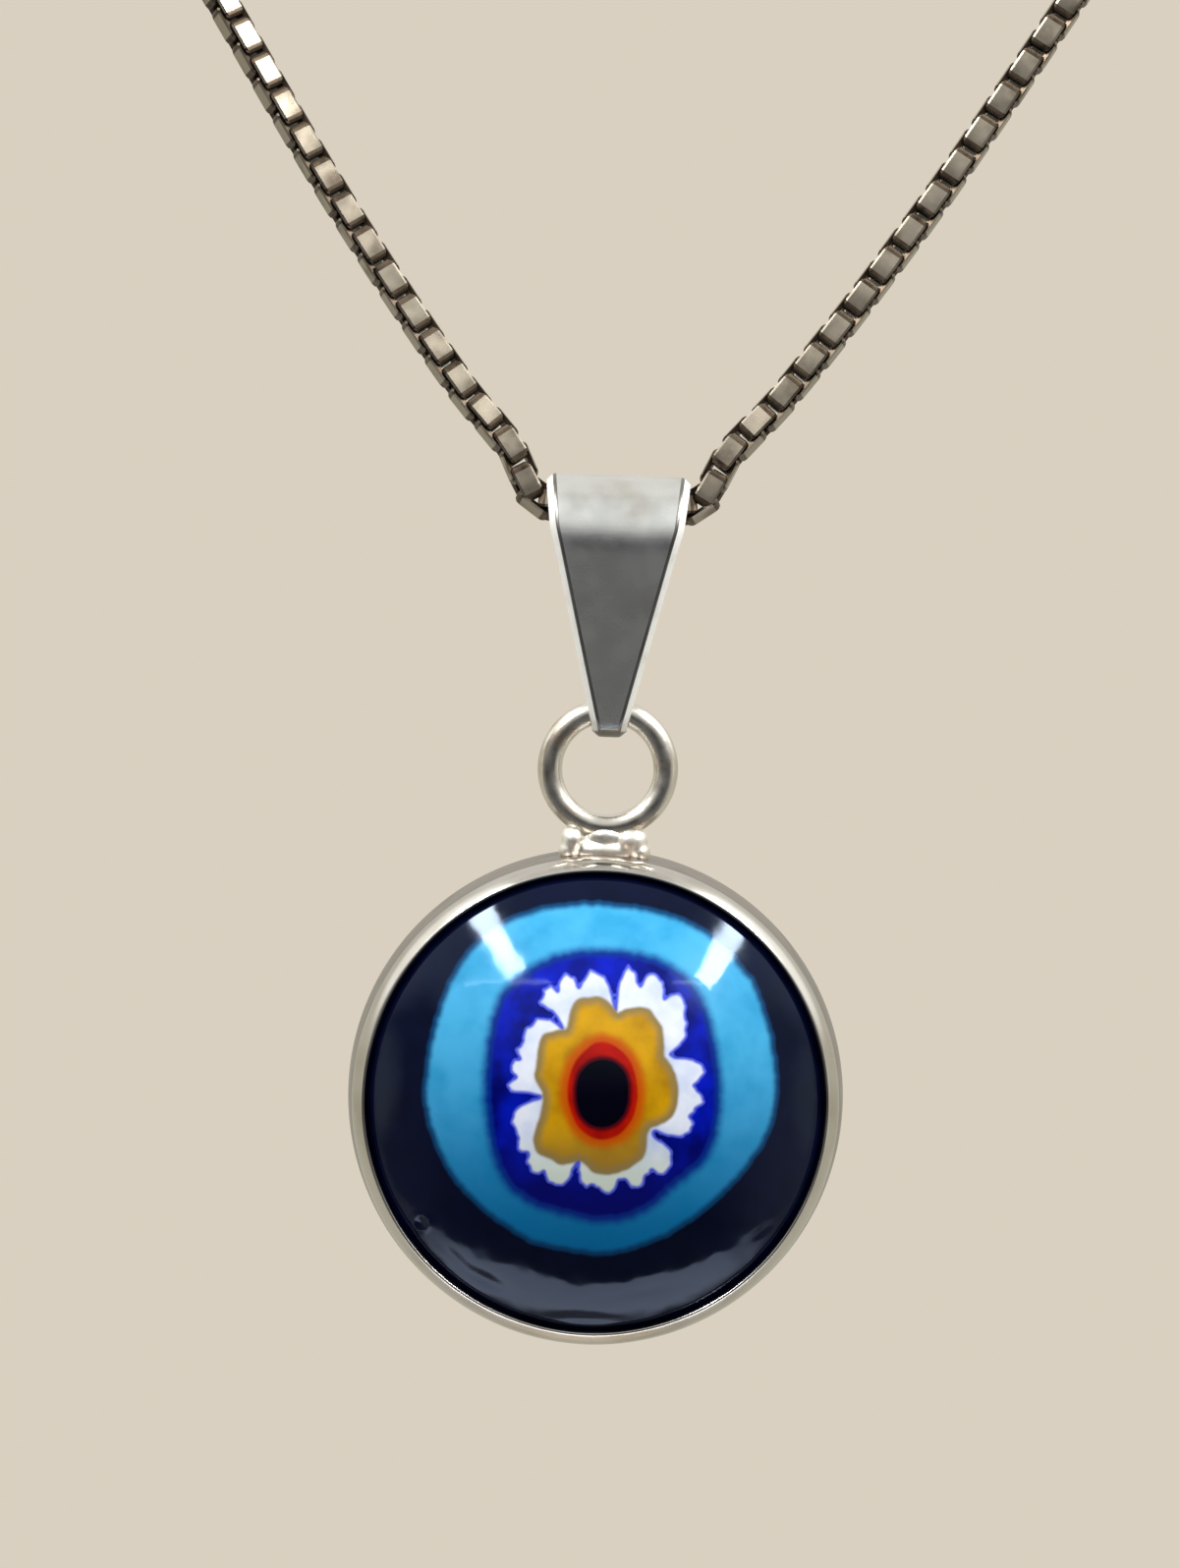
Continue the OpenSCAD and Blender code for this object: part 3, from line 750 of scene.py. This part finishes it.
PETALS = [(81.2, 3.05), (78.2, 3.62), (74.5, 3.48), (70.2, 3.1), (69.2, 3.48), (66.6, 3.64), (61.1, 3.55),
          (56.2, 3.16), (54.6, 3.37), (52, 3.56), (47.6, 3.43), (39.9, 3.08), (33.5, 2.8), (31.1, 2.5),
          (29.6, 2.19), (23.3, 2.49), (17.9, 2.81), (12.6, 2.95), (7.9, 2.8), (4.3, 2.59), (-1, 2.77),
          (-5.2, 2.87), (-9.6, 2.71), (-14.4, 2.58), (-19.1, 2.72), (-24.7, 2.68), (-29.7, 2.47),
          (-33.3, 2.11), (-35.6, 1.76), (-39.7, 1.94), (-38.9, 2.25), (-40.2, 2.52), (-44.4, 2.73),
          (-49.5, 2.86), (-54.9, 2.84), (-57.1, 2.55), (-62.7, 2.69), (-68.9, 2.84), (-72.7, 2.71),
          (-76.5, 2.42), (-82.1, 2.71), (-88.6, 2.82), (-93.3, 2.66), (-95.7, 2.51), (-99.5, 2.68),
          (-104.1, 2.54), (-107, 2.26), (-109.2, 2.02), (-111.2, 2.25), (-110.8, 2.55), (-114.1, 2.84),
          (-121, 2.9), (-126.7, 2.71), (-128.1, 2.88), (-132.9, 2.94), (-138.6, 2.82), (-141, 2.66),
          (-144.5, 2.8), (-149.8, 2.76), (-153.5, 2.58), (-160.1, 2.68), (-165.1, 2.61), (-170.8, 2.38),
          (-173.8, 2.06), (-176.7, 1.7), (179.6, 2.07), (178.9, 2.55), (175.3, 2.68), (169.3, 2.51),
          (165, 2.7), (159.2, 2.62), (157.2, 2.52), (153, 2.68), (146.7, 2.6), (143.4, 2.78), (135.1, 2.78),
          (127.6, 2.68), (123.9, 2.42), (121.2, 2.13), (120.8, 2.56), (123.6, 2.87), (125, 3.12),
          (121, 3.16), (119.6, 3.36), (115.5, 3.32), (113.3, 3.06), (111, 3.33), (107, 3.47), (103.5, 3.32),
          (102.5, 3.02), (98.3, 3.24), (95, 3.43), (90.5, 3.32), (85.9, 2.97), (83.1, 2.6), (80.6, 2.36)]
ROYAL = [(0.9, 3.2), (19.5, 3.29), (37, 3.58), (49.7, 3.83), (63.9, 3.9), (77.4, 3.88), (90, 3.87),
         (104.3, 3.9), (119.5, 3.9), (134.6, 3.83), (146.6, 3.56), (162.1, 3.28), (182.6, 3.17),
         (203.1, 3.29), (221.1, 3.57), (237.5, 3.58), (250.4, 3.46), (266.7, 3.5), (279.3, 3.49),
         (293.2, 3.38), (306.9, 3.2), (326, 3.33), (340.5, 3.29)]
SKY = [(2.8, 4.95), (20.5, 5.05), (37.3, 5.26), (56.5, 5.34), (69.8, 5.3), (81, 5.25), (96, 5.3),
       (109.7, 5.4), (118.2, 5.47), (129.2, 5.48), (142, 5.32), (157.3, 5.1), (170.6, 5.0), (183.8, 5.01),
       (197.5, 4.92), (211.6, 4.84), (227.4, 4.69), (243, 4.67), (252.9, 4.6), (270, 4.57), (282.2, 4.5),
       (298.4, 4.41), (317.1, 4.44), (336.5, 4.68), (349.3, 4.88)]


def border(chart, step, feather):
    """Smooth closed line through a chart, in mm from the middle of the cup. Feather makes it ragged."""
    turned = [(math.radians(a + EYE_TURN), r) for a, r in chart]
    spots = [EYE + Vector((r * math.cos(a), r * math.sin(a))) for a, r in turned]
    count, line = len(spots), []
    for i in range(count):
        p, q, r, s = (spots[(i + k) % count] for k in (-1, 0, 1, 2))
        pieces = max(1, round((r - q).length / step))
        pull_q = (r - p) * 0.5 * min(1, (r - q).length / max((q - p).length, 1e-6))
        pull_r = (s - q) * 0.5 * min(1, (r - q).length / max((s - r).length, 1e-6))
        for k in range(pieces):
            t = k / pieces
            line.append(q * (2 * t ** 3 - 3 * t ** 2 + 1) + pull_q * (t ** 3 - 2 * t ** 2 + t)
                        + r * (3 * t ** 2 - 2 * t ** 3) + pull_r * (t ** 3 - t ** 2))
    return [p + (p - EYE).normalized() * feather * noise.noise(Vector((p.x * 5, p.y * 5, 2.0))) for p in line]


EDGE_POINTS = 300
# Layer, chart of its outer border, length of a step and raggedness in mm, from the outside in
CHARTS = [("sky_ring", SKY, 0.1, 0.05), ("royal_ring", ROYAL, 0.08, 0.05),
          ("white_petals", PETALS, 0.05, 0.11), ("amber_petals", AMBER, 0.06, 0.03),
          ("red_ring", RED, 0.06, 0.0), ("pupil", PUPIL, 0.06, 0.0)]
edge_angles = [2 * math.pi * i / EDGE_POINTS for i in range(EDGE_POINTS)]
borders = {"glass_base": [Vector((GIRDLE_R * math.cos(a), GIRDLE_R * math.sin(a))) for a in edge_angles]}
for name, chart, step, feather in CHARTS:
    borders[name] = border(chart, step, feather)
ORDER = list(borders)
print("points on the borders:", {name: len(line) for name, line in borders.items()})

# %% [markdown]
# All borders and a fine grid of points go into one triangulation, so that no gap can open between two
# colours. Each triangle then belongs to the innermost border that it lies in.

# %% Cut the face of the glass into triangles
# Step of the grid in mm, height of a row as a share of it, and rows and columns to each side of the middle
GRID, ROW_SHARE, GRID_ROWS, GRID_COLUMNS = 0.105, 0.866, 76, 66
EDGE_ROOM, LINE_ROOM = 0.06, 0.045
border_points, border_edges = [], []
for line in borders.values():
    start = len(border_points)
    border_points += line
    border_edges += [(start + i, start + (i + 1) % len(line)) for i in range(len(line))]
nearest = kdtree.KDTree(len(border_points))
for i, p in enumerate(border_points):
    nearest.insert((p.x, p.y, 0), i)
nearest.balance()
grid_points = []
for row in range(-GRID_ROWS, GRID_ROWS + 1):
    for column in range(-GRID_COLUMNS, GRID_COLUMNS + 1):
        p = Vector(((column + 0.5 * (row % 2)) * GRID, row * GRID * ROW_SHARE))
        if p.length < GIRDLE_R - EDGE_ROOM and nearest.find((p.x, p.y, 0))[2] > LINE_ROOM:
            grid_points.append(p)
flat = geometry.delaunay_2d_cdt(border_points + grid_points, border_edges, [], 0, 1e-5)
spots, cells = flat[0], flat[2]


def inside(line, p):
    """True if p lies in the closed line."""
    hit = False
    x, y = p
    for (ax, ay), (bx, by) in zip(line, line[-1:] + line[:-1]):
        if (ay > y) != (by > y) and x < (bx - ax) * (y - ay) / (by - ay) + ax:
            hit = not hit
    return hit


flat_lines = {name: [(p.x, p.y) for p in line] for name, line in borders.items()}
lengths = {name: [(p - EYE).length for p in line] for name, line in borders.items()}
layer_cells = {name: [] for name in ORDER}
for cell in cells:
    middle = sum((spots[i] for i in cell), Vector((0, 0))) / len(cell)
    away = (middle - EYE).length
    for name in reversed(ORDER):
        near, far = min(lengths[name]), max(lengths[name])
        if name == "glass_base" or away < near or (away < far and inside(flat_lines[name], middle)):
            layer_cells[name].append(cell)
            break
print("triangles:", {name: len(found) for name, found in layer_cells.items()})

# %% [markdown]
# The dome is a part of a ball. Hand worked glass isn't perfect: it has a faint ripple, which is stronger low
# down near the edge where the slice was pressed in, and one small burst bubble. The light on the glass shows
# each of these, so they are in the height of the surface itself.

# %% Shape the dome
# Heights over the back of the cup: the glass's edge, the pocket's floor, the glass's back and the dome
GIRDLE_H, FLOOR_H, BACK_H, DOME_TOP = 2.88, 2.23, 0.56, 5.5
CAP = DOME_TOP - GIRDLE_H
BALL_R = (GIRDLE_R ** 2 + CAP ** 2) / (2 * CAP)
BUBBLE = Vector((-4.8, -3.56))
# Place to the right and up, turn in degrees, half length, half width and depth
DENTS = [(-3.0, -5.05, -24, 0.75, 0.2, 0.034), (-3.9, -4.4, -38, 0.5, 0.16, 0.02),
         (-0.1, -6.12, 0, 0.9, 0.17, 0.03), (4.8, -3.45, 40, 0.34, 0.14, 0.022),
         (1.6, -5.2, 12, 0.9, 0.16, 0.012)]
SLOPE_STEP = 0.01


def dome(u, v):
    """Height of the glass over the back of the cup."""
    r = math.hypot(u, v)
    calm = min(1.0, r / 3) * max(0.0, min(1.0, (GIRDLE_R - r) / 0.25))
    low_edge = max(0.0, min(1.0, (r - 4.7) / 0.7)) * max(0.0, min(1.0, (-v - 1.0) / 2.0))
    ripple = 0.0025 * noise.noise(Vector((u * 0.8, v * 0.8, 3.0)))
    ripple += 0.002 * noise.noise(Vector((u * 2.6, v * 2.6, 5.0)))
    ripple += 0.012 * low_edge * noise.noise(Vector((u * 1.3, v * 1.3, 7.0)))
    for at_u, at_v, turned, long, wide, deep in DENTS:
        c, s = math.cos(math.radians(turned)), math.sin(math.radians(turned))
        across_u, across_v = (u - at_u) * c + (v - at_v) * s, (v - at_v) * c - (u - at_u) * s
        ripple -= deep * math.exp(-(across_u / long) ** 2 - (across_v / wide) ** 2)
    away = math.hypot(u - BUBBLE.x, v - BUBBLE.y)
    # The bubble is a raised ring round a small pit.
    ripple += 0.018 * math.exp(-((away - 0.22) / 0.09) ** 2) - 0.03 * math.exp(-(away / 0.14) ** 2)
    return DOME_TOP - BALL_R + math.sqrt(BALL_R ** 2 - r * r) + ripple * calm


def dome_normal(u, v):
    """Way that the dome faces, from its slope to the right and up."""
    d = SLOPE_STEP
    slope_u = (dome(u + d, v) - dome(u - d, v)) / (2 * d)
    slope_v = (dome(u, v + d) - dome(u, v - d)) / (2 * d)
    return Vector((-slope_u, -1.0, -slope_v)).normalized()


heights = [dome(p.x, p.y) for p in spots]
normals = [dome_normal(p.x, p.y) for p in spots]
print("dome:", round(max(heights), 3), "mm at its highest")

# %% [markdown]
# Each layer becomes a closed solid: its part of the dome on top, a wall down along its borders, and a flat
# bottom on the floor of the pocket. Every point also keeps how far it is from the layer's outer and inner
# border. The materials use these two lengths, because the colours of melted glass run into each other by a
# tenth of a millimetre or more.

# %% Build the layers
FAR_OFF = 9.0


def border_of(triangles):
    """Edges that only one triangle has, with the triangle's own direction."""
    found = {}
    for cell in triangles:
        for a, b in zip(cell, cell[1:] + cell[:1]):
            if (b, a) in found:
                del found[(b, a)]
            else:
                found[(a, b)] = True
    return list(found)


def distance_tree(name):
    """Finds how far a point is from a layer's outer border."""
    line = borders[name]
    fine = [a.lerp(b, k / 4) for a, b in zip(line, line[1:] + line[:1]) for k in range(4)]
    made = kdtree.KDTree(len(fine))
    for i, p in enumerate(fine):
        made.insert((p.x, p.y, 0), i)
    made.balance()
    return made


def on_girdle(i):
    """True if a point lies on the outer edge of the button."""
    return spots[i].length > GIRDLE_R - 0.01


def glass_layer(name, material):
    """Makes one layer. The dark glass is the whole rest of the button, with a pocket for the others."""
    triangles = [tuple(cell) for cell in layer_cells[name]]
    whole = name == "glass_base"
    used = sorted({i for cell in triangles for i in cell})
    top = {i: k for k, i in enumerate(used)}
    verts = [on_drop(spots[i].x, spots[i].y, heights[i]) * MM for i in used]
    faces = [tuple(top[i] for i in cell) for cell in triangles]
    smooth_faces = len(faces)
    rim = border_of(triangles)
    low = {}
    for i in sorted({i for edge in rim for i in edge} if whole else used):
        low[i] = len(verts)
        outer = whole and on_girdle(i)
        verts.append(on_drop(spots[i].x, spots[i].y, BACK_H if outer else FLOOR_H) * MM)
    faces += [(top[b], top[a], low[a], low[b]) for a, b in rim]
    if whole:
        for outer, h in ((True, BACK_H), (False, FLOOR_H)):
            middle = len(verts)
            verts.append(on_drop(0 if outer else EYE.x, 0 if outer else EYE.y, h) * MM)
            faces += [(low[b], low[a], middle) for a, b in rim if on_girdle(a) == outer]
    else:
        faces += [tuple(low[i] for i in reversed(cell)) for cell in triangles]
    mesh = bpy.data.meshes.new(name)
    mesh.from_pydata(verts, [], faces)
    mesh.materials.append(material)
    inner_name = ORDER[ORDER.index(name) + 1] if name != "pupil" else None
    outer_tree = distance_tree(name)
    inner_tree = distance_tree(inner_name) if inner_name else None
    keys = used + list(low)
    for label, tree_of in (("to_outer", outer_tree), ("to_inner", inner_tree)):
        away = [tree_of.find((spots[i].x, spots[i].y, 0))[2] if tree_of else FAR_OFF for i in keys]
        away += [FAR_OFF] * (len(verts) - len(away))
        mesh.attributes.new(label, "FLOAT", "POINT").data.foreach_set("value", away)
    for polygon in mesh.polygons:
        polygon.use_smooth = True
    loop_normals = []
    for k, polygon in enumerate(mesh.polygons):
        for v in polygon.vertices:
            loop_normals.append(normals[used[v]] if k < smooth_faces else polygon.normal)
    mesh.normals_split_custom_set(loop_normals)
    piece = bpy.data.objects.new("eye_" + name, mesh)
    scene.collection.objects.link(piece)
    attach(piece, "drop")
    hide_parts(name)
    print(piece.name, "has", sum(len(p.vertices) - 2 for p in mesh.polygons), "triangles")


# %% [markdown]
# The glass is opaque, and it gets its colour from the surface down. Each colour is clouded by soft noise,
# because the rod was drawn out by hand. Most of them get darker towards the bottom, where less light falls
# into the dome.

# %% Mix the glass colours
GLASS_ROUGH = 0.055


def cane_glass(name, pale, deep, outer=None, inner=None, low=None, shine=0.27, share=(0.3, 0.8)):
    """Glass between two colours.

    Outer and inner are (colour, width in mm) at its borders. Low is a painted shade colour for its lowest
    part, with the depths in mm under the pupil where it begins and where it is full.
    """
    material, tree, shader = new_material(name)
    mixed = mix_colours(tree, smooth_step(tree, grain(tree, 0.9, 3.0), *share), pale, deep)
    if low:
        height = node(tree, "ShaderNodeSeparateXYZ", {0: in_mm(tree)}).outputs[2]
        fall = smooth_step(tree, math_node(tree, "SUBTRACT", DROP.z + EYE.y, height), low[1], low[2])
        mixed = mix_colours(tree, fall, mixed, low[0])
    wander = math_node(tree, "MULTIPLY", math_node(tree, "SUBTRACT", grain(tree, 5.0, 2.0), 0.5), 0.2)
    for label, edge in (("to_outer", outer), ("to_inner", inner)):
        if edge:
            away = node(tree, "ShaderNodeAttribute", attribute_name=label).outputs["Fac"]
            away = math_node(tree, "ADD", away, math_node(tree, "MULTIPLY", wander, edge[1]))
            mixed = mix_colours(tree, smooth_step(tree, away, 0.0, edge[1]), edge[0], mixed)
    tree.links.new(mixed, shader.inputs["Base Color"])
    smear(tree, shader, 0.8, GLASS_ROUGH, GLASS_ROUGH * 2.2)
    shader.inputs["IOR"].default_value = 1.58
    shader.inputs["Specular IOR Level"].default_value = shine
    shader.inputs["Specular Tint"].default_value = (0.6, 0.78, 1.0, 1.0)
    engrave(tree, shader, grain(tree, 2.2, 1.0), 0.15, 0.01)
    return material


navy_to_sky, sky_to_royal = srgb(4, 52, 92), srgb(2, 34, 118)
royal_to_white, white_to_amber = srgb(66, 78, 190), srgb(128, 108, 62)
amber_to_red, red_to_black = srgb(172, 72, 2), srgb(62, 2, 12)
# The low colours are painted shade, darker towards the bottom of the dome.
glasses = {
    "glass_base": cane_glass("navy glass", srgb(3, 6, 32), srgb(0, 2, 22), inner=(navy_to_sky, 0.1),
                             shine=0.22),
    "sky_ring": cane_glass("sky glass", srgb(62, 151, 194), srgb(38, 132, 176), (navy_to_sky, 0.2),
                           (sky_to_royal, 0.34), (srgb(0, 98, 148), -1.8, 4.6)),
    "royal_ring": cane_glass("royal glass", srgb(2, 20, 168), srgb(0, 3, 84), (sky_to_royal, 0.12),
                             (royal_to_white, 0.05), (srgb(0, 0, 92), 0.5, 3.4), share=(0.28, 0.7)),
    "white_petals": cane_glass("white glass", srgb(208, 212, 221), srgb(166, 179, 208), (royal_to_white, 0.1),
                               (white_to_amber, 0.12), (srgb(188, 198, 184), 1.0, 2.6)),
    "amber_petals": cane_glass("amber glass", srgb(188, 141, 6), srgb(142, 102, 4), (white_to_amber, 0.28),
                               (amber_to_red, 0.34), (srgb(140, 106, 30), 0.6, 2.2)),
    "red_ring": cane_glass("red glass", srgb(178, 20, 0), srgb(130, 8, 0), (amber_to_red, 0.1),
                           (red_to_black, 0.16)),
    "pupil": cane_glass("black glass", srgb(2, 0, 12), srgb(0, 0, 4), (red_to_black, 0.05)),
}
for layer, glass in glasses.items():
    glass_layer(layer, glass)

# %% [markdown]
# ## Floor
#
# The jewel hangs free. A plain pale disc well below it stands for the table, and its edge fades out, so that
# no hard line of it shows in any view.

# %% Lay the floor
FLOOR_R, FLOOR_DROP, FLOOR_Y = 110, 250, -10
bm = bmesh.new()
bmesh.ops.create_circle(bm, cap_ends=True, radius=FLOOR_R * MM, segments=96)
disc = bpy.data.meshes.new("floor")
bm.to_mesh(disc)
bm.free()
floor = bpy.data.objects.new("floor", disc)
scene.collection.objects.link(floor)
floor.location = (0, FLOOR_Y * MM, cad_box[0][2] - FLOOR_DROP * MM)
pale, tree, shader = new_material("pale floor")
place = node(tree, "ShaderNodeTexCoord").outputs["Object"]
away = node(tree, "ShaderNodeVectorMath", {0: place}, operation="LENGTH").outputs["Value"]
shader.inputs["Base Color"].default_value = srgb(172, 164, 150)
shader.inputs["Roughness"].default_value = 0.9
fading = {0: away, 1: 0.5 * FLOOR_R * MM, 2: FLOOR_R * MM, 3: 1.0, 4: 0.0}
edge_fade = node(tree, "ShaderNodeMapRange", fading, interpolation_type="SMOOTHSTEP")
tree.links.new(edge_fade.outputs[0], shader.inputs["Alpha"])
disc.materials.append(pale)
print("floor is", FLOOR_DROP, "mm below the pendant")
